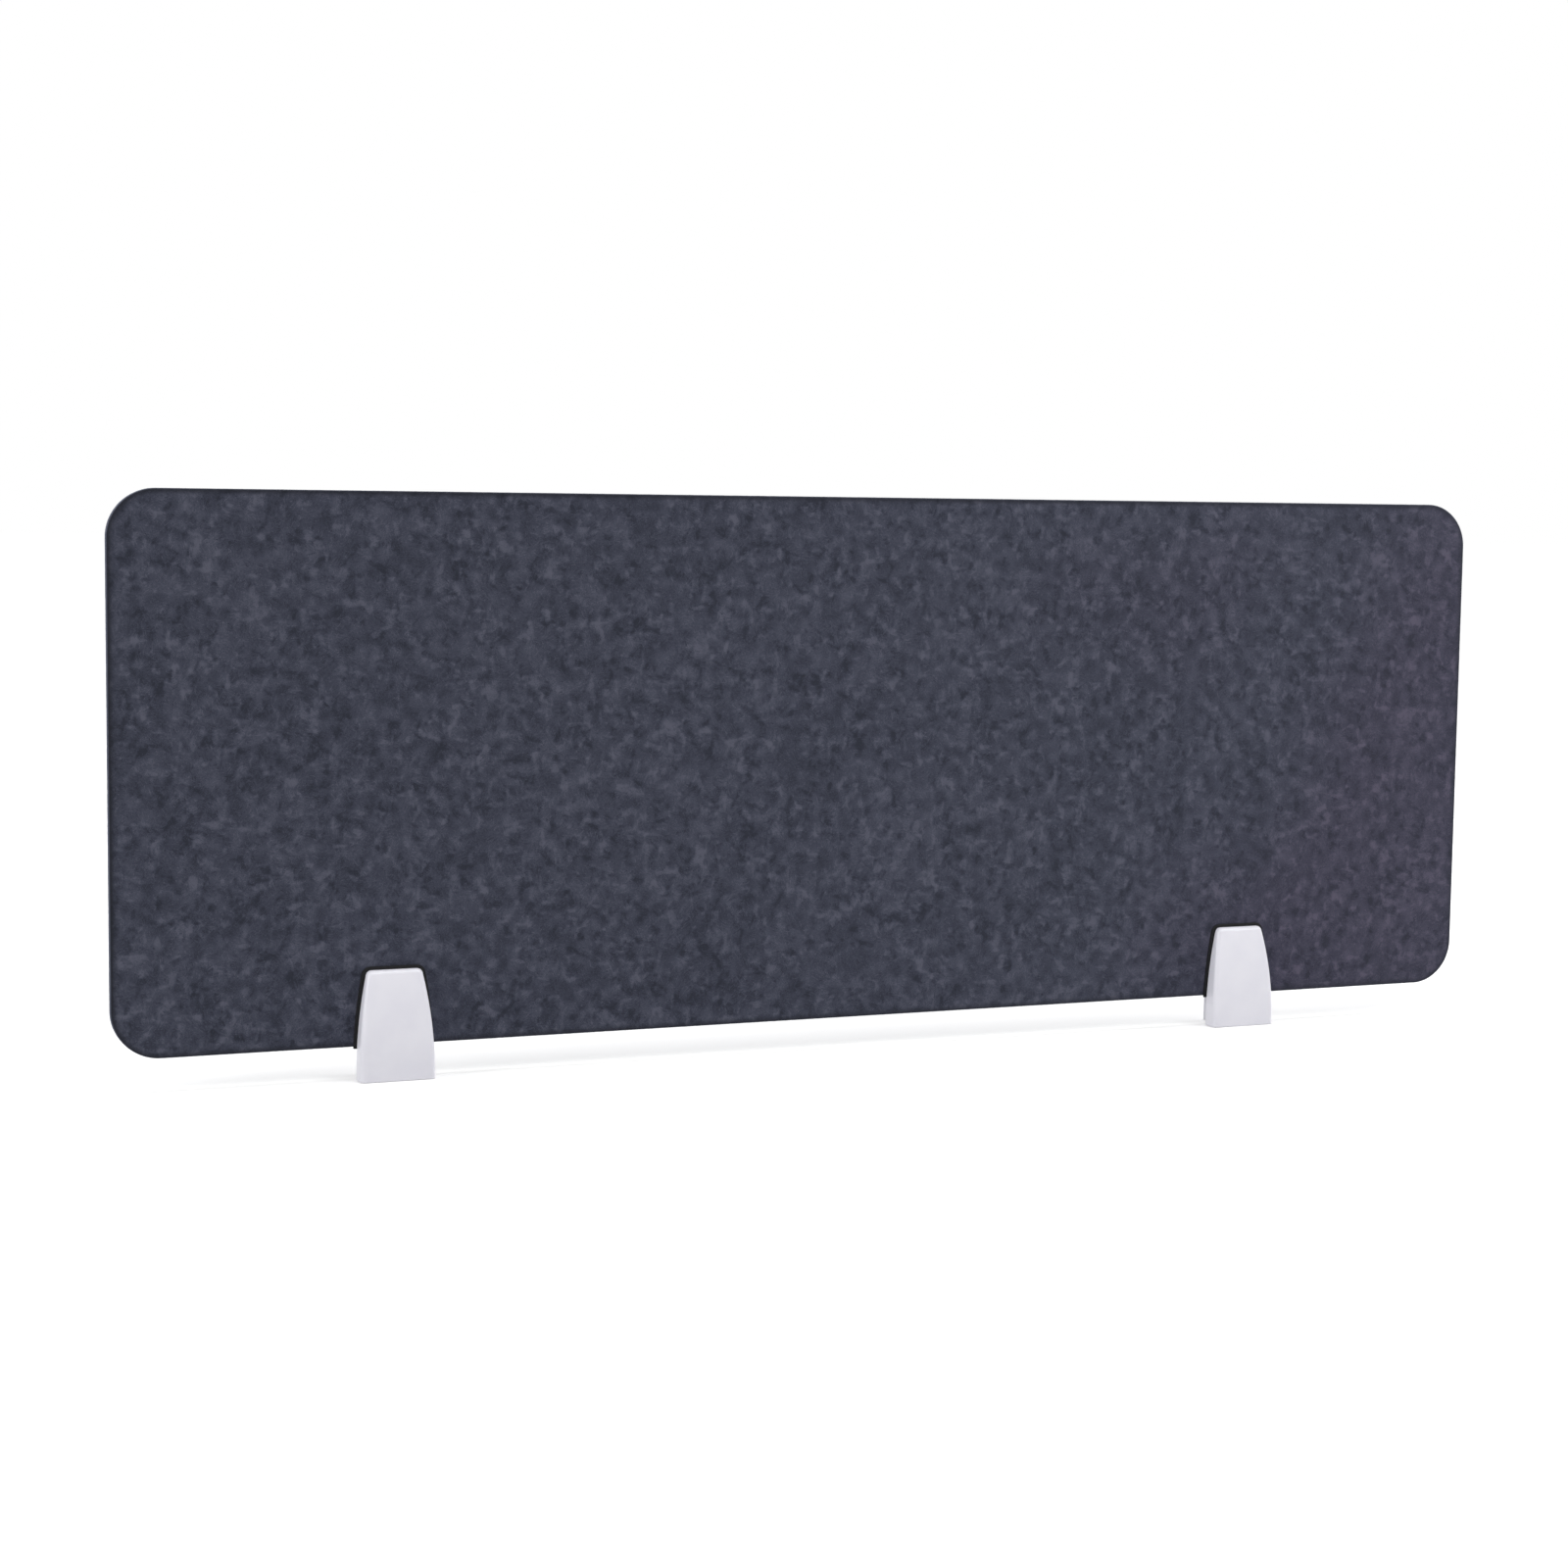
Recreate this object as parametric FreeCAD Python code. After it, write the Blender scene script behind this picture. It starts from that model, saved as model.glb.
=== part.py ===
import FreeCAD, Part
import math
import os

# Desk privacy panel: a felt board held upright by two die-cast fork brackets.
# Millimetres. X runs along the board, the user sits on the -Y side, +Z is up.
# The origin lies on the desk top, under the middle of the board.

# Board
board_width = 1200.0
board_height = 430.0
board_thickness = 9.0
board_corner_radius = 37.5
board_edge_round = 1.5

# Places
bracket_insets = {"left": 217.5, "right": 224.5}   # end of the board to the middle of a bracket
board_lift = 26.0            # desk top to the lower edge of the board

# Bracket body: front leaf and base
bracket_width = 60.0
bracket_top_width = 43.5
bracket_height = 86.0
side_bow_start = 5.0         # height at which the sides start to curve in
face_bow_start = 5.0         # height at which the front and rear faces start to lean in
foot_reach = 16.0            # how far the base stands out from each face of the board
front_leaf_top = 5.2         # thickness of the front leaf at its top
top_corner_round = 4.6
face_edge_round = 4.0

# Bracket body: rear leaf
rear_width = 34.0
rear_top_width = 24.0
rear_leaf_top = 6.0
rear_root_round = 3.5
rear_edge_round = 1.8

# What lies in the slot, from front to rear
liner_thickness = 1.2
plate_pad_thickness = 1.0
plate_thickness = 2.5
plate_travel = 2.5
plate_end_gap = 0.3          # left behind the plate when it is fully back
slot_root_round = 1.0
slot_mouth_round = 0.8

# How far the liner, plate and pad stand out from, or keep inside, the edges that they follow
liner_overhang = 2.5         # shows as a dark line round the front leaf
tongue_inset = 1.5
plate_side_inset = 1.5
plate_top_inset = 4.0
plate_floor_gap = 2.5
plate_corner_round = 3.0
plate_pad_inset = 0.6

# Set screws and the bosses that they run in
screw_radius = 3.0
screw_length = 12.0
screw_bore_clearance = 0.05
screw_tip_radius = 2.0
screw_tip_length = 1.5
screw_end_chamfer = 0.5
socket_across_flats = 3.0
socket_depth = 3.5
seat_clearance = 0.3         # round the screw tip in the plate
seat_depth = 1.0
screw_spacing = 22.0         # the two screws press evenly about the middle of the plate
boss_radius = 6.0
boss_rim_chamfer = 0.4
bore_chamfer = 0.5

# Underside
pad_thickness = 1.5
pad_recess = 1.0
pad_inset = 2.2
pad_gap = 0.2                # round the pad in its recess
cast_wall = 3.2
rib_thickness = 3.0
core_top = 50.0              # the front leaf is hollow up to this height
bolt_spacing = 24.0          # one bolt in front of the board and one behind it
bolt_radius = 3.0
bolt_tap_radius = 2.5
bolt_depth = 15.0
bolt_boss_radius = 5.5
drill_tip_height = 1.5
bolt_pad_clearance = 0.8     # round the bolt in the pad

# Values that follow from the sizes above
half_board = board_thickness / 2
half_width = bracket_width / 2
foot_out = half_board + foot_reach
base_bottom = pad_thickness - pad_recess
slot_front = half_board + liner_thickness
plate_front = half_board + plate_pad_thickness
plate_rear = plate_front + plate_thickness
slot_rear = plate_rear + plate_travel + plate_end_gap
slot_floor = board_lift - liner_thickness
plate_bottom = slot_floor + plate_floor_gap
plate_top = bracket_height - plate_top_inset
plate_middle = (plate_bottom + plate_top) / 2
screw_heights = {"lower": plate_middle - screw_spacing / 2, "upper": plate_middle + screw_spacing / 2}
front_top_out = slot_front + front_leaf_top
rear_top_out = slot_rear + rear_leaf_top
screw_tip_end = plate_rear - seat_depth
recess_top = base_bottom + pad_recess
bolt_places = (-bolt_spacing / 2, bolt_spacing / 2)

UP = FreeCAD.Vector(0, 0, 1)
BACK = FreeCAD.Vector(0, 1, 0)


def point(x, y, z):
    return FreeCAD.Vector(x, y, z)


def box(x0, x1, y0, y1, z0, z1):
    return Part.makeBox(x1 - x0, y1 - y0, z1 - z0, point(x0, y0, z0))


def near(value, target):
    return abs(value - target) < 0.01


def polyline(points):
    return [Part.makeLine(a, b) for a, b in zip(points, points[1:])]


def filled(edges):
    return Part.Face(Part.Wire(Part.__sortEdges__(edges)))


def edges_where(shape, test):
    """Edges whose course, apart from its two ends, passes a test on points."""
    picked = []
    for edge in shape.Edges:
        first, last = edge.ParameterRange
        course = [edge.valueAt(first + (last - first) * step / 4) for step in (1, 2, 3)]
        if all(test(p) for p in course):
            picked.append(edge)
    return picked


def bow_out(base_out, top_out, start, top, height):
    """How far out an edge lies that rises straight to start, then arcs in to the top."""
    drop = base_out - top_out
    radius = ((top - start) ** 2 + drop ** 2) / (2 * drop)
    rise = max(0.0, height - start)
    return base_out - radius + math.sqrt(radius ** 2 - rise ** 2)


def bowed_edge(place, base_out, top_out, start, bottom, top):
    """The edge that bow_out describes, placed by a function of (out, height)."""
    middle = (start + top) / 2
    arc_middle = place(bow_out(base_out, top_out, start, top, middle), middle)
    arc = Part.Arc(place(base_out, start), arc_middle, place(top_out, top)).toShape()
    if start - bottom < 0.01:
        return [arc]
    return [Part.makeLine(place(base_out, bottom), place(base_out, start)), arc]


def front_view(base_out, top_out, start, bottom, top):
    """Outline seen from the front, bowed on both sides, run through the whole depth."""
    def right(out, height):
        return point(out, -foot_out, height)

    def left(out, height):
        return point(-out, -foot_out, height)

    edges = bowed_edge(right, base_out, top_out, start, bottom, top)
    edges += bowed_edge(left, base_out, top_out, start, bottom, top)
    edges += polyline([left(top_out, top), right(top_out, top)])
    edges += polyline([left(base_out, bottom), right(base_out, bottom)])
    return filled(edges).extrude(BACK * 2 * foot_out)


def side_view(way, base_out, top_out, bottom, top, inner):
    """Outline seen from the side, bowed on its outer face, run across the whole width.

    way is -1 in front of the board and 1 behind it, and inner lists the other
    corners as (y, z), from the top of the slot face round to the bottom.
    """
    def place(out, height):
        return point(-half_width, way * out, height)

    def root(p):
        return near(p.y, inner[1][0]) and near(p.z, slot_floor)

    corners = [place(top_out, top)] + [point(-half_width, y, z) for y, z in inner]
    edges = bowed_edge(place, base_out, top_out, face_bow_start, bottom, top)
    edges += polyline(corners + [place(base_out, bottom)])
    solid = filled(edges).extrude(point(bracket_width, 0, 0))
    slot_roots = edges_where(solid, root)
    return solid.makeFillet(slot_root_round, slot_roots) if slot_roots else solid


def front_face_out(height):
    return bow_out(foot_out, front_top_out, face_bow_start, bracket_height, height)


def rear_face_out(height):
    return bow_out(foot_out, rear_top_out, face_bow_start, bracket_height, height)


def rounded_top(shape, top_width, radius):
    def corner(p):
        return near(p.z, bracket_height) and near(abs(p.x), top_width / 2)

    return shape.makeFillet(radius, edges_where(shape, corner))


def front_half():
    """Front leaf, which thickens down to its foot and has a flat back."""
    outline = front_view(half_width, bracket_top_width / 2, side_bow_start, base_bottom, bracket_height)
    inner = [(-slot_front, bracket_height), (-slot_front, base_bottom)]
    half = outline.common(side_view(-1, foot_out, front_top_out, base_bottom, bracket_height, inner))
    half = rounded_top(half, bracket_top_width, top_corner_round)

    def face_rim(p):
        return near(-p.y, front_face_out(p.z)) and p.z > base_bottom + 0.1

    def back_rim(p):
        return near(-p.y, slot_front) and p.z > base_bottom + 0.1

    half = half.makeFillet(face_edge_round, edges_where(half, face_rim))
    return half.makeFillet(slot_mouth_round, edges_where(half, back_rim))


def rear_half():
    """Rear leaf, narrower than the front one, with the bridge under the board and its screw bosses."""
    outline = front_view(rear_width / 2, rear_top_width / 2, slot_floor, base_bottom, bracket_height)
    inner = [(slot_rear, bracket_height), (slot_rear, slot_floor)]
    inner += [(-slot_front - 1, slot_floor), (-slot_front - 1, base_bottom)]
    half = outline.common(side_view(1, foot_out, rear_top_out, base_bottom, bracket_height, inner))
    half = rounded_top(half, rear_top_width, top_corner_round)

    def face_rim(p):
        return near(p.y, rear_face_out(p.z)) and p.z > base_bottom + 0.1

    def slot_rim(p):
        return near(p.y, slot_rear) and p.z > slot_floor + 0.1

    half = half.makeFillet(rear_edge_round, edges_where(half, face_rim))
    half = half.makeFillet(slot_mouth_round, edges_where(half, slot_rim))
    for height in screw_heights.values():
        half = half.fuse(boss(height))
    return half


def boss(height):
    """Round boss round a set screw, with its rim in the plane of the foot's rear face."""
    start = slot_rear + rear_leaf_top / 2
    solid = Part.makeCylinder(boss_radius, foot_out - start, point(0, start, height), BACK)

    def rim(p):
        return near(p.y, foot_out)

    return solid.makeChamfer(boss_rim_chamfer, edges_where(solid, rim))


def plan_outline(shape):
    """Outline of the bracket where it stands, as a wire."""
    for face in shape.Faces:
        middle = face.CenterOfMass
        if near(middle.z, base_bottom) and near(face.BoundBox.ZLength, 0):
            return face.OuterWire
    raise ValueError("the bracket has no flat underside")


def inset_slab(wire, inset, bottom, top):
    """Slab with the outline of a wire drawn in by an inset."""
    outline = wire.makeOffset2D(-inset)
    outline.translate(UP * (bottom - base_bottom))
    return Part.Face(outline).extrude(UP * (top - bottom))


def casting_core(plan):
    """The hollow of the casting, open below, with its ribs and bolt bosses left standing."""
    base = inset_slab(plan, cast_wall, base_bottom, slot_floor - cast_wall)
    outline = front_view(half_width - cast_wall, bracket_top_width / 2 - cast_wall, side_bow_start,
                         base_bottom, bracket_height)
    side = side_view(-1, foot_out - cast_wall, front_top_out - cast_wall, base_bottom, bracket_height,
                     [(0, bracket_height), (0, base_bottom)])
    leaf = box(-half_width, half_width, -foot_out, -slot_front - cast_wall, base_bottom, core_top)
    core = base.fuse(leaf.common(outline).common(side)).removeSplitter()
    half_rib = rib_thickness / 2
    core = core.cut(box(-half_rib, half_rib, -foot_out, foot_out, base_bottom, core_top))
    core = core.cut(box(-half_width, half_width, -half_rib, half_rib, base_bottom, slot_floor))
    boss_height = slot_floor - base_bottom
    for y in bolt_places:
        core = core.cut(Part.makeCylinder(bolt_boss_radius, boss_height, point(0, y, base_bottom), UP))
    return core


def bolt_hole(y):
    """Blind tapped hole from below, with the cone that a drill leaves."""
    hole = Part.makeCylinder(bolt_tap_radius, bolt_depth, point(0, y, recess_top), UP)
    end = recess_top + bolt_depth
    drill_tip = Part.makeCone(bolt_tap_radius, 0, drill_tip_height, point(0, y, end), UP)
    return hole.fuse(drill_tip)


def screw_bore(height):
    """Bore of a set screw through the rear leaf and its boss, chamfered at the rear."""
    radius = screw_radius + screw_bore_clearance
    start = slot_rear - 1
    bore = Part.makeCylinder(radius, foot_out + 1 - start, point(0, start, height), BACK)
    mouth = Part.makeCone(radius, radius + 1, 1, point(0, foot_out - bore_chamfer, height), BACK)
    return bore.fuse(mouth)


def root_round(way):
    """Concave round between the back of the front leaf and one side of the bridge."""
    side = way * rear_width / 2
    away = side + way * rear_root_round
    front = -slot_front
    rear = front + rear_root_round
    corner = box(min(side, away), max(side, away), front, rear, base_bottom, slot_floor)
    return corner.cut(Part.makeCylinder(rear_root_round, slot_floor, point(away, rear, 0), UP))


def bracket_body():
    body = front_half().fuse([rear_half(), root_round(-1), root_round(1)]).removeSplitter()
    plan = plan_outline(body)
    body = body.cut(casting_core(plan))
    body = body.cut(inset_slab(plan, pad_inset - pad_gap, base_bottom - 1, recess_top))
    for y in bolt_places:
        body = body.cut(bolt_hole(y))
    for height in screw_heights.values():
        body = body.cut(screw_bore(height))
    return body, plan


def slot_liner():
    """Rubber strip between the front leaf and the board, with a narrower tongue under the board."""
    widest = half_width + liner_overhang
    top_out = bracket_top_width / 2 + liner_overhang
    top = bracket_height + liner_overhang
    tongue_out = rear_width / 2 - tongue_inset
    tongue_rear = slot_rear - slot_root_round
    outline = front_view(widest, top_out, side_bow_start, base_bottom, top)
    upright = outline.common(box(-widest, widest, -slot_front, -half_board, slot_floor, top))
    tongue = box(-tongue_out, tongue_out, -slot_front, tongue_rear, slot_floor, board_lift)
    liner = upright.fuse(tongue).removeSplitter()

    def top_corner(p):
        return near(p.z, top) and near(abs(p.x), top_out)

    return liner.makeFillet(top_corner_round + liner_overhang, edges_where(liner, top_corner))


def plate_blank(inset, front, rear):
    """Tapered plate with rounded corners that keeps inside the rear leaf's outline."""
    bottom = plate_bottom + inset
    top = plate_top - inset
    side = plate_side_inset + inset
    outline = front_view(rear_width / 2 - side, rear_top_width / 2 - side, bottom, bottom, top)
    blank = outline.common(box(-half_width, half_width, front, rear, bottom, top))

    def corner(p):
        return front + 0.1 < p.y < rear - 0.1

    return blank.makeFillet(plate_corner_round - inset, edges_where(blank, corner))


def pressure_plate():
    plate = plate_blank(0, plate_front, plate_rear)
    radius = screw_tip_radius + seat_clearance
    for height in screw_heights.values():
        plate = plate.cut(Part.makeCylinder(radius, seat_depth, point(0, screw_tip_end, height), BACK))
    return plate


def set_screw(height):
    """Set screw with a dog point at the plate and a hexagon socket at the rear."""
    body_start = screw_tip_end + screw_tip_length
    end = screw_tip_end + screw_length
    tip = Part.makeCylinder(screw_tip_radius, screw_tip_length, point(0, screw_tip_end, height), BACK)
    body = Part.makeCylinder(screw_radius, end - body_start, point(0, body_start, height), BACK)

    def end_rim(p):
        return near(math.hypot(p.x, p.z - height), screw_radius) and not body_start < p.y < end

    def at_rim(edge):
        return near(edge.CenterOfMass.y, body_start) or near(edge.CenterOfMass.y, end)

    body = body.makeChamfer(screw_end_chamfer, [e for e in edges_where(body, end_rim) if at_rim(e)])
    corner_radius = socket_across_flats / math.sqrt(3)
    corners = []
    for step in range(7):
        angle = math.radians(60 * step)
        across = corner_radius * math.cos(angle)
        up = corner_radius * math.sin(angle)
        corners.append(point(across, end - socket_depth, height + up))
    socket = filled(polyline(corners)).extrude(BACK * (socket_depth + 1))
    return body.fuse(tip).cut(socket).removeSplitter()


def base_pad(plan):
    pad = inset_slab(plan, pad_inset, 0, pad_thickness)
    hole_radius = bolt_radius + bolt_pad_clearance
    for y in bolt_places:
        pad = pad.cut(Part.makeCylinder(hole_radius, pad_thickness, point(0, y, 0), UP))
    return pad


def felt_board():
    half_length = board_width / 2
    board_top = board_lift + board_height
    board = box(-half_length, half_length, -half_board, half_board, board_lift, board_top)

    def corner(p):
        return near(abs(p.x), half_length) and abs(p.y) < half_board - 0.1

    def rim(p):
        return near(abs(p.y), half_board)

    board = board.makeFillet(board_corner_radius, edges_where(board, corner))
    return board.makeFillet(board_edge_round, edges_where(board, rim))


os.makedirs("parts", exist_ok=True)
felt_board().exportStep("parts/panel_board.step")
body, plan = bracket_body()
bracket_parts = {
    "bracket_body": body,
    "slot_liner": slot_liner(),
    "pressure_plate": pressure_plate(),
    "plate_pad": plate_blank(plate_pad_inset, half_board, plate_front),
    "base_pad": base_pad(plan),
}
for name, height in screw_heights.items():
    bracket_parts[name + "_screw"] = set_screw(height)
for side, way in (("left", -1), ("right", 1)):
    x = way * (board_width / 2 - bracket_insets[side])
    for name, shape in bracket_parts.items():
        placed = shape.copy()
        placed.translate(point(x, 0, 0))
        placed.exportStep("parts/" + side + "_" + name + ".step")
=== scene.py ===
import math

import bpy
import numpy as np
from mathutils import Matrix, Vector, noise


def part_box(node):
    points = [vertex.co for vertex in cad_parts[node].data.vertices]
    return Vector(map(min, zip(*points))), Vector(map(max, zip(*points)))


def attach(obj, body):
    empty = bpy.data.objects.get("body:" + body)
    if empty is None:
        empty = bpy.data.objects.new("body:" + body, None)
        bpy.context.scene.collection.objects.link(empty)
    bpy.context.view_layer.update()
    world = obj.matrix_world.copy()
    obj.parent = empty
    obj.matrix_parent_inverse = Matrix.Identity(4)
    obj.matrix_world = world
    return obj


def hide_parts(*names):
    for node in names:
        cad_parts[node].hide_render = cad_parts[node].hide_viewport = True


MM = 0.001

# Camera: as high as the board's top edge, in front of it and to its left, looking slightly down
CAMERA_PLACE = (-0.96153, -2.19541, 0.45204)
CAMERA_TURN = (math.radians(84.4609), math.radians(-0.7236), math.radians(-22.3938))
CAMERA_LENS = 67.009
CAMERA_SENSOR = 36.0

# Lamps: place, point aimed at, width and height, power in watts
LAMPS = {
    "key": ((1.6, -2.0, 2.2), (0.1, 0, 0.25), (1.6, 1.2), 22),
    "front_top": ((0.5, -1.2, 1.9), (0.1, 0, 0.35), (1.6, 0.6), 8.5),
    "left_side": ((-2.4, -0.5, 1.1), (-0.2, 0, 0.15), (0.8, 1.6), 23),
    "right_side": ((2.4, -0.1, 1.1), (0.2, 0, 0.15), (0.8, 1.6), 22),
    "top": ((0, 0.1, 2.3), (0, 0, 0.2), (2.4, 1.0), 35),
    "back": ((-0.4, 2.2, 1.7), (0, 0, 0.25), (2.4, 1.0), 16),
}
WORLD_LIGHT = 0.29

# Floor: half its width, the share of light that it throws back, and its own light near and far
FLOOR_HALF = 30.0
FLOOR_REFLECTS = 0.8
FLOOR_NEAR, GLOW_NEAR = 0.8, 0.25
FLOOR_FAR, GLOW_FAR = 3.0, 0.85

# Felt board: its mesh
FELT_STEP = 2.6 * MM            # spacing of the mesh over the faces
FELT_EDGE_STEP = 1.2 * MM       # and across the cut edge
FELT_CORNER_RADIUS = 37.5 * MM
FELT_CORNER_STEPS = 22
FELT_EDGE_ROUND = 1.5 * MM
FELT_EDGE_ANGLES = (22.5, 45, 67.5, 90)
FELT_PAINTED_EDGE_SHADE = 6.0 * MM             # width of the border darkened as painted shade, standing in for the shade on the rounded edge

# Felt board: depth of the hollows between the pressed clumps of fibre, and the size of the clumps
FELT_RELIEF = 0.22 * MM
FELT_RELIEF_FADE = 2.0 * MM     # the relief comes in over this width from the edge
FELT_EDGE_RELIEF = 0.25 * MM
CLUMP_SIZE, CLUMP_SHARE = 3.6 * MM, 0.38
DENT_SIZE, DENT_SHARE = 11 * MM, 0.3
EDGE_CLUMP_SIZE = 2.4 * MM
EDGE_CLUMP_SQUEEZE = 2          # those in the edge are this much shorter across it than along it
FACE_SEED, DENT_SEED = 10, 50   # keep the two faces, and the clumps and dents, from looking alike

# Felt colour, clumps in the uneven mix of fibres: how many to a metre, detail and share of the tone
FELT_CLUMPS = (
    (105.0, 0.0, 0.56),
    (14.0, 1.0, 0.08),
    (6.0, 1.0, 0.14),
)
# Bundles of fibre that lie in the faces: angle in degrees, length and width in mm, share of the tone
FELT_BUNDLES = (
    (2, 12.0, 7.5, 0.25),
    (91, 12.0, 7.5, 0.25),
)
# Single fibres on top of them, given in the same way
FELT_FIBRES = (
    (15, 9.0, 0.40, 0.28),
    (68, 9.0, 0.40, 0.28),
    (132, 9.0, 0.40, 0.28),
)
# Each of them lightens the felt, and has a fellow that darkens it, turned by some degrees
DARK_TURN = 24
DARK_SHARE = 0.85
# How many bends to a metre they have, and how far a bend goes
BUNDLE_BENDS, BUNDLE_REACH = 60.0, 3 * MM
FIBRE_BENDS, FIBRE_REACH = 26.0, 18 * MM
# How light the mix is, and its colour there on a scale of 0 to 255
FELT_TONES = (
    (0.06, (25, 27, 36)),
    (0.39, (50, 52, 64)),
    (0.59, (64, 66, 78)),
    (0.78, (79, 80, 92)),
)

# Length, width and height of the faint rolling lines in the zinc-plated steel
ROLLING_LINES = (8.0 * MM, 8.0 * MM, 0.24 * MM)

# Set screws: M6 with a dog point and a hexagon socket
THREAD_PITCH = 1.0 * MM
THREAD_DEPTH = 0.61 * MM
THREAD_CREST = 0.125            # width of a crest, in pitches
THREAD_FLANK = 0.3125           # and of a flank
THREAD_TURN_STEPS = 48
THREAD_PITCH_STEPS = 12
SCREW_TIP_RADIUS = 2.0 * MM
SCREW_TIP_LENGTH = 1.5 * MM
SCREW_TIP_CHAMFER = 0.3 * MM
SCREW_CHAMFER = 0.5 * MM
SOCKET_ACROSS_FLATS = 3.0 * MM
SOCKET_DEPTH = 3.5 * MM
SOCKET_MOUTH = 0.15 * MM
SOCKET_CONE = 0.6 * MM
SOCKET_DRILL = 0.9              # width of the round bottom, in widths across the flats
SHARP_ANGLE = math.radians(28)  # edges that turn by more stay sharp


def srgb(red, green, blue):
    """A colour given as 0 to 255 on the screen, as Blender's linear RGBA by the sRGB curve."""
    parts = []
    for part in (red, green, blue):
        share = part / 255
        parts.append(share / 12.92 if share <= 0.04045 else ((share + 0.055) / 1.055) ** 2.4)
    return (*parts, 1.0)


class Graph:
    """The nodes of a material or a world, with short calls that add a node and join it up."""

    def __init__(self, owner):
        owner.use_nodes = True
        self.owner = owner
        self.tree = owner.node_tree

    def add(self, kind, **settings):
        node = self.tree.nodes.new(kind)
        for key, value in settings.items():
            setattr(node, key, value)
        return node

    def join(self, socket, value):
        """Joins another node's output to an input, or sets the input's own value."""
        if isinstance(value, bpy.types.NodeSocket):
            self.tree.links.new(value, socket)
        else:
            socket.default_value = value

    def feed(self, node, *values, **named):
        """Fills a node's inputs, in their order or by name."""
        for socket, value in zip(node.inputs, values):
            self.join(socket, value)
        for name, value in named.items():
            self.join(node.inputs[name.replace("_", " ")], value)

    def math(self, operation, first, second):
        node = self.add("ShaderNodeMath", operation=operation)
        self.feed(node, first, second)
        return node.outputs[0]

    def vector(self, operation, first, second):
        node = self.add("ShaderNodeVectorMath", operation=operation)
        self.feed(node, first, second)
        return node.outputs[0]

    def spread(self, value, low, high, to_low=0.0, to_high=1.0, how="SMOOTHSTEP"):
        """Maps low..high to another range, smoothly and held at its ends."""
        node = self.add("ShaderNodeMapRange", interpolation_type=how)
        self.feed(node, value, low, high, to_low, to_high)
        return node.outputs["Result"]


class MaterialGraph(Graph):
    """A material's nodes, and those that make its colour and relief."""

    def __init__(self, name):
        super().__init__(bpy.data.materials.new(name))
        self.surface = self.tree.nodes["Principled BSDF"]
        self.place = self.add("ShaderNodeTexCoord").outputs["Object"]

    def noise(self, per_metre, place=None, detail=2.0, roughness=0.5, output="Fac"):
        node = self.add("ShaderNodeTexNoise")
        self.feed(node, Vector=place or self.place, Scale=per_metre, Detail=detail, Roughness=roughness)
        return node.outputs[output]

    def cells(self, per_metre, feature):
        """Distance from the middle of the nearest cell."""
        node = self.add("ShaderNodeTexVoronoi", feature=feature)
        self.feed(node, Vector=self.place, Scale=per_metre)
        return node.outputs["Distance"]

    def mapped(self, place, turn, size):
        """Places measured along turned axes, in steps of a size along each."""
        node = self.add("ShaderNodeMapping", vector_type="TEXTURE")
        self.feed(node, Vector=place, Rotation=turn, Scale=size)
        return node.outputs["Vector"]

    def bent(self, bends, reach):
        """Places moved about by a noise, so that what is drawn there bends."""
        stir = self.noise(bends, detail=1.0, output="Color")
        stir = self.vector("SUBTRACT", stir, (0.5, 0.5, 0.5))
        return self.vector("ADD", self.place, self.vector("MULTIPLY", stir, (reach, reach, reach)))

    def strands(self, place, angle, length, width):
        """Short fibres that lie in the board's plane at an angle: 1 on a fibre and 0 beside it."""
        size = (length * MM, width * MM, width * MM)
        stretched = self.mapped(place, (0, math.radians(angle), 0), size)
        return self.spread(self.noise(1.0, stretched, detail=1.0), low=0.58, high=0.74)

    def ramp(self, value, stops):
        """A colour between those of the stops, each given as a position and a colour up to 255."""
        node = self.add("ShaderNodeValToRGB")
        elements = node.color_ramp.elements
        while len(elements) < len(stops):
            elements.new(0.5)
        for element, (position, colour) in zip(elements, stops):
            element.position = position
            element.color = srgb(*colour)
        self.feed(node, Fac=value)
        return node.outputs["Color"]

    def mix(self, share, first, second, blend="MIX"):
        node = self.add("ShaderNodeMix", data_type="RGBA", blend_type=blend)
        colours = [socket for socket in node.inputs if socket.type == "RGBA"]
        for socket, value in zip((node.inputs["Factor"], *colours), (share, first, second)):
            self.join(socket, value)
        return next(socket for socket in node.outputs if socket.type == "RGBA")

    def tinted(self, share, colour, tint):
        """A colour multiplied by a tint in the places where a share says so."""
        return self.mix(share, colour, self.mix(1.0, colour, tint, "MULTIPLY"))

    def bump(self, height, depth, strength, over=None):
        """A relief of a depth, laid over another one if there is one."""
        node = self.add("ShaderNodeBump")
        self.feed(node, Height=height, Distance=depth, Strength=strength)
        if over is not None:
            self.feed(node, Normal=over)
        return node.outputs["Normal"]

    def finish(self, **inputs):
        self.feed(self.surface, **inputs)
        return self.owner


def felt_tone(graph, bundled, curled):
    """How light the mix of fibres is, from the places that the bundles and the fibres are drawn at."""
    tone = 0.0
    for per_metre, detail, share in FELT_CLUMPS:
        clumps = graph.noise(per_metre, bundled, detail)
        tone = graph.math("ADD", tone, graph.math("MULTIPLY", clumps, share))
    for place, kinds in ((bundled, FELT_BUNDLES), (curled, FELT_FIBRES)):
        for angle, length, width, share in kinds:
            light = graph.strands(place, angle, length, width)
            dark = graph.strands(place, angle + DARK_TURN, length, width)
            tone = graph.math("ADD", tone, graph.math("MULTIPLY", light, share))
            tone = graph.math("SUBTRACT", tone, graph.math("MULTIPLY", dark, DARK_SHARE * share))
    return tone


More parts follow.
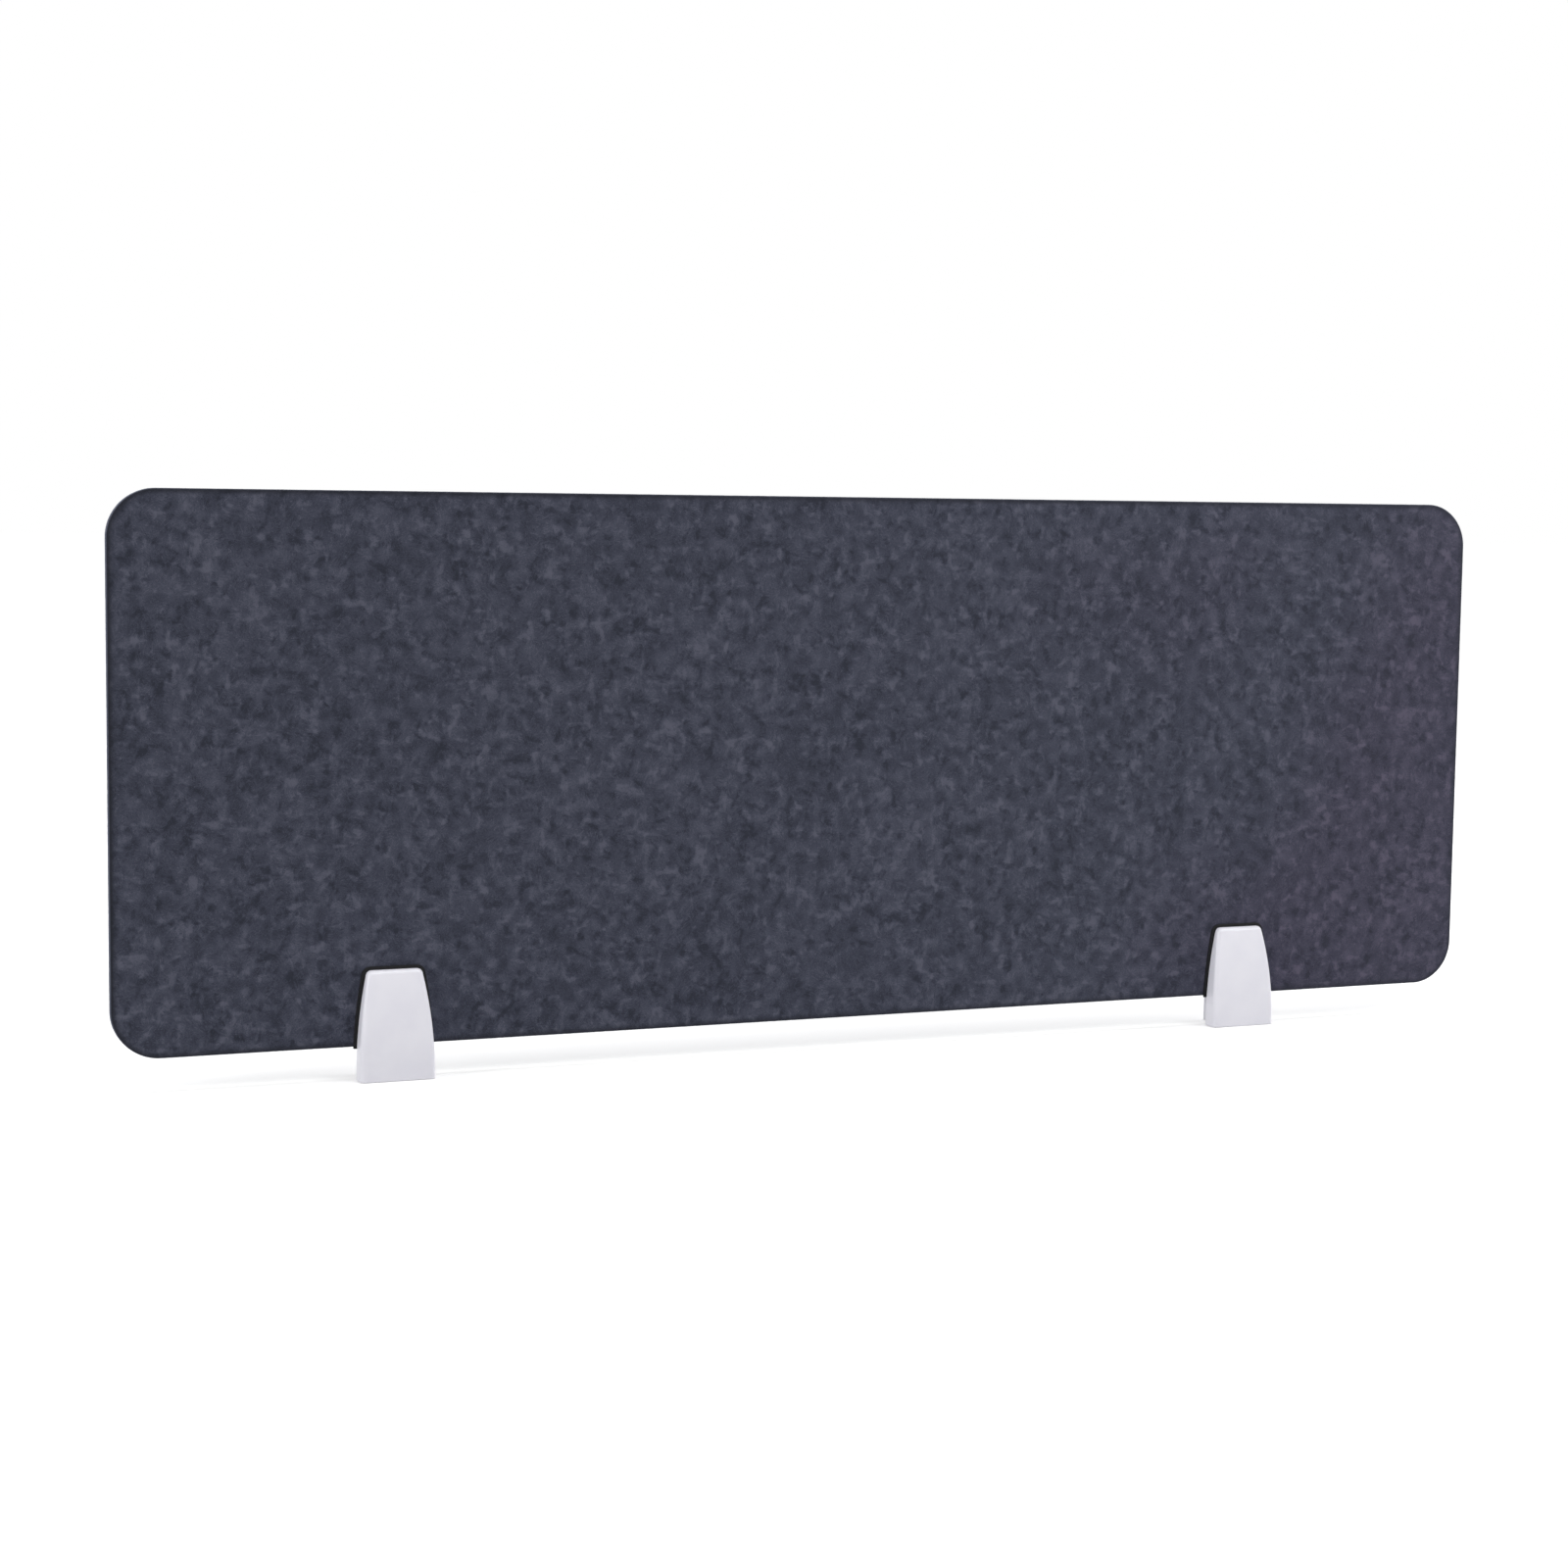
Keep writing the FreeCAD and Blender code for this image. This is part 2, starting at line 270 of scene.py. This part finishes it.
def felt_material():
    """Pressed polyester felt in heathered dark blue-grey."""
    graph = MaterialGraph("heathered_felt")
    bundled = graph.bent(BUNDLE_BENDS, BUNDLE_REACH)
    curled = graph.bent(FIBRE_BENDS, FIBRE_REACH)
    tone = felt_tone(graph, bundled, curled)
    colour = graph.ramp(tone, FELT_TONES)

    # The felt turns a little redder towards its right end, and its border is darkened as painted shade of
    # the rounded edge
    along = graph.add("ShaderNodeSeparateXYZ")
    graph.feed(along, Vector=graph.place)
    drift = graph.math("ADD", graph.noise(per_metre=3.2, detail=1.0), along.outputs["X"])
    redder = graph.spread(drift, low=0.70, high=1.10)
    colour = graph.tinted(redder, colour, srgb(255, 236, 246))
    # Painted shade: the border and the cut edge are multiplied by a dark grey that stands in for the
    # shade on the board's rounded edge
    painted_edge_shade = graph.add("ShaderNodeAttribute", attribute_name="painted_edge_shade").outputs["Fac"]
    colour = graph.tinted(painted_edge_shade, colour, srgb(86, 84, 88))

    clumps = graph.bump(tone, depth=0.5 * MM, strength=0.12)
    fuzz = graph.noise(per_metre=2600.0, place=bundled, roughness=0.6)
    normal = graph.bump(fuzz, depth=0.08 * MM, strength=0.08, over=clumps)
    return graph.finish(Base_Color=colour, Roughness=0.96, Normal=normal, Sheen_Weight=0.32,
                        Sheen_Roughness=0.6, Sheen_Tint=srgb(200, 208, 240), Specular_IOR_Level=0.2)


def powder_coat_material():
    """Satin white powder coat with the fine orange peel of a baked finish."""
    graph = MaterialGraph("white_powder_coat")
    cloud = graph.noise(per_metre=45.0, detail=3.0)
    colour = graph.mix(graph.spread(cloud, low=0.3, high=0.7), srgb(223, 222, 230), srgb(227, 226, 233))
    peel = graph.noise(per_metre=650.0, roughness=0.45)
    grain = graph.noise(per_metre=3200.0, detail=1.0)
    relief = graph.bump(peel, depth=0.06 * MM, strength=0.5)
    relief = graph.bump(grain, depth=0.012 * MM, strength=0.4, over=relief)
    rough = graph.spread(grain, low=0.3, high=0.7, to_low=0.30, to_high=0.40)
    return graph.finish(Base_Color=colour, Roughness=rough, Normal=relief, IOR=1.5)


def rubber_material(name, dark, light, grain_size):
    """Matt black rubber with a fine moulded grain and a trace of bloom."""
    graph = MaterialGraph(name)
    bloom = graph.noise(per_metre=60.0, detail=4.0, roughness=0.6)
    colour = graph.mix(graph.spread(bloom, low=0.35, high=0.75), dark, light)
    grain = graph.cells(per_metre=1 / grain_size, feature="SMOOTH_F1")
    rough = graph.spread(grain, low=0.1, high=0.7, to_low=0.62, to_high=0.80)
    relief = graph.bump(grain, depth=0.05 * MM, strength=0.6)
    return graph.finish(Base_Color=colour, Roughness=rough, Normal=relief, Specular_IOR_Level=0.3)


def zinc_material():
    """Bright zinc plating on rolled steel, with faint crystal patches and rolling lines."""
    graph = MaterialGraph("zinc_plate")
    patches = graph.cells(per_metre=260.0, feature="F1")
    rolled = graph.mapped(graph.place, turn=(0, 0, 0), size=ROLLING_LINES)
    lines = graph.noise(per_metre=1.0, place=rolled, detail=3.0)
    shade = graph.math("ADD", graph.math("MULTIPLY", patches, 0.5), lines)
    colour = graph.mix(graph.spread(shade, low=0.4, high=1.0), srgb(186, 190, 196), srgb(216, 216, 212))
    rough = graph.spread(lines, low=0.3, high=0.7, to_low=0.28, to_high=0.46)
    relief = graph.bump(lines, depth=0.01 * MM, strength=0.4)
    return graph.finish(Base_Color=colour, Roughness=rough, Normal=relief, Metallic=1.0)


def black_oxide_material():
    """Blackened steel, slightly oily, a little uneven in colour and gloss."""
    graph = MaterialGraph("black_oxide")
    cloud = graph.noise(per_metre=900.0, detail=4.0, roughness=0.6)
    colour = graph.mix(graph.spread(cloud, low=0.35, high=0.7), srgb(38, 38, 42), srgb(64, 62, 62))
    rough = graph.spread(cloud, low=0.3, high=0.7, to_low=0.30, to_high=0.52)
    relief = graph.bump(cloud, depth=0.01 * MM, strength=0.5)
    return graph.finish(Base_Color=colour, Roughness=rough, Normal=relief, Metallic=0.85)


def dress(obj, material):
    obj.data.materials.clear()
    obj.data.materials.append(material)


def mesh_object(name, vertices, faces, material, smooth=True):
    mesh = bpy.data.meshes.new(name)
    mesh.from_pydata(vertices, [], faces)
    mesh.validate()
    mesh.update()
    for polygon in mesh.polygons:
        polygon.use_smooth = smooth
    obj = bpy.data.objects.new(name, mesh)
    bpy.context.scene.collection.objects.link(obj)
    mesh.materials.append(material)
    return obj


def steps(start, end, spacing):
    """Even steps from start to end, about a spacing apart."""
    return np.linspace(start, end, max(2, round(abs(end - start) / spacing) + 1))


class RoundedRectangle:
    """The outline of the flat part of a board's face, measured from its middle."""

    def __init__(self, half_width, half_height, radius):
        self.half_width = half_width
        self.half_height = half_height
        self.radius = radius
        self.straight_x = half_width - radius
        self.straight_z = half_height - radius

    def reach(self, z):
        """Half the width at a height."""
        rise = max(0.0, abs(z) - self.straight_z)
        return self.straight_x + math.sqrt(max(0.0, self.radius ** 2 - rise ** 2))

    def outward(self, x, z):
        """Direction straight out of the outline at one of its points."""
        away = Vector((max(0.0, abs(x) - self.straight_x), max(0.0, abs(z) - self.straight_z)))
        away.normalize()
        return math.copysign(away.x, x), math.copysign(away.y, z)

    def inset(self, x, z):
        """How far a point lies inside the outline."""
        corner_x = abs(x) - self.straight_x
        corner_z = abs(z) - self.straight_z
        if corner_x > 0 and corner_z > 0:
            return self.radius - math.hypot(corner_x, corner_z)
        return min(self.half_width - abs(x), self.half_height - abs(z))

    def rows(self):
        """Heights of the mesh rows: by angle round the corners, and evenly between them."""
        angles = np.linspace(math.pi / 2, 0, FELT_CORNER_STEPS + 1)[:-1]
        lower = -self.straight_z - self.radius * np.sin(angles)
        middle = steps(-self.straight_z, self.straight_z, FELT_STEP)
        return np.concatenate([lower, middle, -lower[::-1]])


def face_relief(x, z, seed):
    """How deep a face lies under its highest fibres, mostly 0 to 1."""
    clumps = noise.noise(Vector((x / CLUMP_SIZE, z / CLUMP_SIZE, seed)))
    dents = noise.noise(Vector((x / DENT_SIZE, z / DENT_SIZE, seed + DENT_SEED)))
    return 0.5 + CLUMP_SHARE * clumps + DENT_SHARE * dents


def edge_relief(x, y, z):
    """How deep the cut edge lies under its highest fibres, 0 to 1."""
    return 0.5 + 0.5 * noise.noise(Vector((x, EDGE_CLUMP_SQUEEZE * y, z)) / EDGE_CLUMP_SIZE)


def painted_edge_shade_share(inset):
    """How much of the painted edge shade shows at a distance from the edge, 1 to 0."""
    share = max(0.0, 1 - inset / FELT_PAINTED_EDGE_SHADE)
    return share * share * (3 - 2 * share)


class FeltMesh:
    """The board's points with their shares of the painted edge shade, and its faces. Places are from its
    middle.
    """

    def __init__(self, low, high):
        self.centre = (low + high) / 2
        half = (high - low) / 2
        self.half_depth = half.y
        self.flat = RoundedRectangle(half.x - FELT_EDGE_ROUND, half.z - FELT_EDGE_ROUND,
                                     FELT_CORNER_RADIUS - FELT_EDGE_ROUND)
        self.points = []
        self.painted_edge_shades = []
        self.faces = []

    def add_point(self, x, y, z, painted_edge_shade):
        self.points.append((self.centre.x + x, self.centre.y + y, self.centre.z + z))
        self.painted_edge_shades.append(painted_edge_shade)
        return len(self.points) - 1

    def add_side(self, way):
        """The front (way -1) or back (way 1) of the board. Returns the points of its outline."""
        columns = steps(-1, 1, FELT_STEP / self.flat.half_width)
        grid = []
        for z in self.flat.rows():
            width = self.flat.reach(z)
            row = []
            for share in columns:
                x = share * width
                inset = self.flat.inset(x, z)
                fade = min(1.0, inset / FELT_RELIEF_FADE)
                sink = FELT_RELIEF * fade * face_relief(x, z, FACE_SEED * way)
                # Painted shade: points near the border get a share of the darkening that stands in for
                # the edge's shade
                painted_edge_shade = painted_edge_shade_share(inset + FELT_EDGE_ROUND)
                row.append(self.add_point(x, way * (self.half_depth - sink), z, painted_edge_shade))
            grid.append(row)
        for below, above in zip(grid, grid[1:]):
            for i in range(len(columns) - 1):
                face = (below[i], below[i + 1], above[i + 1], above[i])
                self.faces.append(face if way < 0 else face[::-1])
        right = [row[-1] for row in grid[1:-1]]
        left = [row[0] for row in grid[-2:0:-1]]
        return grid[0] + right + grid[-1][::-1] + left

    def edge_profile(self):
        """The rings of the edge from front to back: share of the rounding that each stands out, and y."""
        flat_half = self.half_depth - FELT_EDGE_ROUND
        rounded = []
        for angle in FELT_EDGE_ANGLES:
            turn = math.radians(angle)
            rounded.append((math.sin(turn), -flat_half - FELT_EDGE_ROUND * math.cos(turn)))
        middle = [(1.0, y) for y in steps(-flat_half, flat_half, FELT_EDGE_STEP)[1:-1]]
        return rounded + middle + [(out, -y) for out, y in rounded[::-1]]

    def add_edge(self, front, back):
        """The rounded edge, as rings of points between the outlines of the front and the back."""
        rings = [front]
        for out, y in self.edge_profile():
            ring = []
            for index in front:
                x = self.points[index][0] - self.centre.x
                z = self.points[index][2] - self.centre.z
                way_x, way_z = self.flat.outward(x, z)
                reach = FELT_EDGE_ROUND * out - FELT_EDGE_RELIEF * out * edge_relief(x, y, z)
                # Points of the rounded edge itself get the full painted shade
                ring.append(self.add_point(x + way_x * reach, y, z + way_z * reach, 1.0))
            rings.append(ring)
        rings.append(back)
        for near, far in zip(rings, rings[1:]):
            for i in range(len(near)):
                after = (i + 1) % len(near)
                self.faces.append((near[after], near[i], far[i], far[after]))


def felt_board(material):
    """The board as two dense faces joined by a rounded edge, with the slight relief of pressed fibre."""
    mesh = FeltMesh(*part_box("panel_board"))
    front = mesh.add_side(-1)
    back = mesh.add_side(1)
    mesh.add_edge(front, back)
    board = mesh_object("felt_board", mesh.points, mesh.faces, material)
    # The shares of painted edge shade reach the felt material through this attribute
    attribute = board.data.attributes.new("painted_edge_shade", "FLOAT", "POINT")
    attribute.data.foreach_set("value", np.array(mesh.painted_edge_shades, np.float32))
    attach(board, "panel")
    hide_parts("panel_board")


def thread_radius(turn, along, major):
    """Radius of a 60 degree thread with flattened crests and roots."""
    phase = (along / THREAD_PITCH - turn) % 1.0
    slope = min(1.0, max(0.0, (abs(phase - 0.5) - THREAD_CREST / 2) / THREAD_FLANK))
    return major - THREAD_DEPTH * slope


def hexagon_radius(turn, across_flats):
    sector = math.radians(60)
    return across_flats / 2 / math.cos((2 * math.pi * turn) % sector - sector / 2)


def screw_rings(major, length):
    """Distances along a screw, each with the radii round it, from its tip to its socket's bottom."""
    turns = [step / THREAD_TURN_STEPS for step in range(THREAD_TURN_STEPS)]
    rings = []

    def round_ring(along, radius):
        rings.append((along, [radius] * len(turns)))

    def hexagon_ring(along, across_flats):
        rings.append((along, [hexagon_radius(turn, across_flats) for turn in turns]))

    round_ring(0, SCREW_TIP_RADIUS - SCREW_TIP_CHAMFER)
    round_ring(SCREW_TIP_CHAMFER, SCREW_TIP_RADIUS)
    round_ring(SCREW_TIP_LENGTH, SCREW_TIP_RADIUS)
    chamfer_start = major - THREAD_DEPTH - SCREW_CHAMFER / 2
    for along in steps(SCREW_TIP_LENGTH, length, THREAD_PITCH / THREAD_PITCH_STEPS):
        limit = chamfer_start + min(along - SCREW_TIP_LENGTH, length - along)
        rings.append((along, [min(limit, thread_radius(turn, along, major)) for turn in turns]))
    hexagon_ring(length, SOCKET_ACROSS_FLATS + 2 * SOCKET_MOUTH)
    hexagon_ring(length - SOCKET_MOUTH, SOCKET_ACROSS_FLATS)
    hexagon_ring(length - SOCKET_DEPTH, SOCKET_ACROSS_FLATS)
    round_ring(length - SOCKET_DEPTH, SOCKET_DRILL * SOCKET_ACROSS_FLATS / 2)
    return rings


def set_screw(node, body, material):
    """A threaded set screw, built as rings from its dog point round to the bottom of its socket."""
    low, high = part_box(node)
    centre = (low + high) / 2
    length = high.y - low.y
    rings = screw_rings((high.z - low.z) / 2, length)
    count = THREAD_TURN_STEPS
    vertices = []
    for along, radii in rings:
        for step, out in enumerate(radii):
            angle = 2 * math.pi * (step / count)
            vertices.append((centre.x + out * math.cos(angle), low.y + along,
                             centre.z + out * math.sin(angle)))
    faces = []
    for level in range(len(rings) - 1):
        for i in range(count):
            after = (i + 1) % count
            start, end = level * count, (level + 1) * count
            faces.append((start + i, end + i, end + after, start + after))
    tip = len(vertices)
    vertices.append((centre.x, low.y, centre.z))
    bottom = len(vertices)
    vertices.append((centre.x, low.y + length - SOCKET_DEPTH - SOCKET_CONE, centre.z))
    last = (len(rings) - 1) * count
    for i in range(count):
        after = (i + 1) % count
        faces.append((tip, i, after))
        faces.append((bottom, last + after, last + i))
    screw = mesh_object("threaded_" + node, vertices, faces, material)
    screw.data.set_sharp_from_angle(angle=SHARP_ANGLE)
    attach(screw, body)
    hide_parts(node)


def brightness(graph, seen, lighting):
    """A strength with one value for what is seen, straight or mirrored, and one for lighting."""
    rays = graph.add("ShaderNodeLightPath").outputs
    eye = rays["Is Camera Ray"]
    for name in ("Is Glossy Ray", "Is Transmission Ray"):
        eye = graph.math("MAXIMUM", eye, rays[name])
    return graph.spread(eye, low=0, high=1, to_low=lighting, to_high=seen, how="LINEAR")


def floor_glow(graph):
    """The floor's own light: little under the object, where a shadow shows, and more far off."""
    distance = graph.add("ShaderNodeVectorMath", operation="LENGTH")
    graph.feed(distance, graph.place)
    return graph.spread(distance.outputs["Value"], FLOOR_NEAR, FLOOR_FAR, GLOW_NEAR, GLOW_FAR)


def floor_material():
    """White by the light that reaches it, which leaves a soft shadow, and by its own light."""
    graph = MaterialGraph("white_floor")
    graph.tree.nodes.remove(graph.surface)
    lit = graph.add("ShaderNodeBsdfDiffuse")
    graph.feed(lit, Color=(FLOOR_REFLECTS, FLOOR_REFLECTS, FLOOR_REFLECTS, 1))
    glow = graph.add("ShaderNodeEmission")
    seen_only = brightness(graph, seen=1.0, lighting=0.0)
    graph.feed(glow, Strength=graph.math("MULTIPLY", seen_only, floor_glow(graph)))
    both = graph.add("ShaderNodeAddShader")
    graph.feed(both, lit.outputs[0], glow.outputs[0])
    graph.feed(graph.tree.nodes["Material Output"], Surface=both.outputs[0])
    return graph.owner


def make_floor():
    half = FLOOR_HALF
    corners = [(-half, -half, 0), (half, -half, 0), (half, half, 0), (-half, half, 0)]
    floor = mesh_object("floor", corners, [(0, 1, 2, 3)], floor_material(), smooth=False)


def make_world():
    graph = Graph(bpy.data.worlds.new("studio"))
    strength = brightness(graph, seen=1.0, lighting=WORLD_LIGHT)
    graph.feed(graph.tree.nodes["Background"], Color=(1, 1, 1, 1), Strength=strength)
    bpy.context.scene.world = graph.owner


def make_lamp(name, place, target, size, power):
    light = bpy.data.lights.new(name, "AREA")
    light.shape = "RECTANGLE"
    light.size, light.size_y = size
    light.energy = power
    lamp = bpy.data.objects.new(name, light)
    lamp.location = place
    lamp.rotation_euler = (Vector(target) - Vector(place)).to_track_quat("-Z", "Y").to_euler()
    lamp.visible_camera = False
    bpy.context.scene.collection.objects.link(lamp)


def make_camera():
    data = bpy.data.cameras.new("camera")
    data.lens = CAMERA_LENS
    data.sensor_width = CAMERA_SENSOR
    camera = bpy.data.objects.new("camera", data)
    camera.location = CAMERA_PLACE
    camera.rotation_euler = CAMERA_TURN
    bpy.context.scene.collection.objects.link(camera)
    bpy.context.scene.camera = camera


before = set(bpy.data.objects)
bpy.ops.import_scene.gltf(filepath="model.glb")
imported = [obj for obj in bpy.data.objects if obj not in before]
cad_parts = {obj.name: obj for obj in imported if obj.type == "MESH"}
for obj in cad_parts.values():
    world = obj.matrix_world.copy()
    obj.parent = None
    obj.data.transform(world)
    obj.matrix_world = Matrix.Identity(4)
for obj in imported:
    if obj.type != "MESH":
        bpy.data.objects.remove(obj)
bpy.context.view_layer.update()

felt = felt_material()
powder_coat = powder_coat_material()
# Black rubber of the liners and plate pads. It is made near black so that the liner's edge round each
# bracket also serves as painted shade: partly real rubber, partly painted shade.
liner_rubber = rubber_material("liner_rubber", srgb(5, 5, 8), srgb(12, 12, 15), grain_size=0.7 * MM)
foot_rubber = rubber_material("foot_rubber", srgb(44, 44, 47), srgb(56, 56, 58), grain_size=1.4 * MM)
zinc = zinc_material()
black_oxide = black_oxide_material()

felt_board(felt)
for side in ("left", "right"):
    dress(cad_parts[side + "_bracket_body"], powder_coat)
    # The liner's near-black edge round the bracket also stands in for the shade there
    dress(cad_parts[side + "_slot_liner"], liner_rubber)
    dress(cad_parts[side + "_plate_pad"], liner_rubber)
    dress(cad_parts[side + "_base_pad"], foot_rubber)
    dress(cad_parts[side + "_pressure_plate"], zinc)
    for level in ("lower", "upper"):
        name = side + "_" + level + "_screw"
        set_screw(name, name, black_oxide)

make_floor()
make_world()
for name, settings in LAMPS.items():
    make_lamp(name, *settings)
make_camera()
bpy.context.scene.view_settings.view_transform = "Standard"
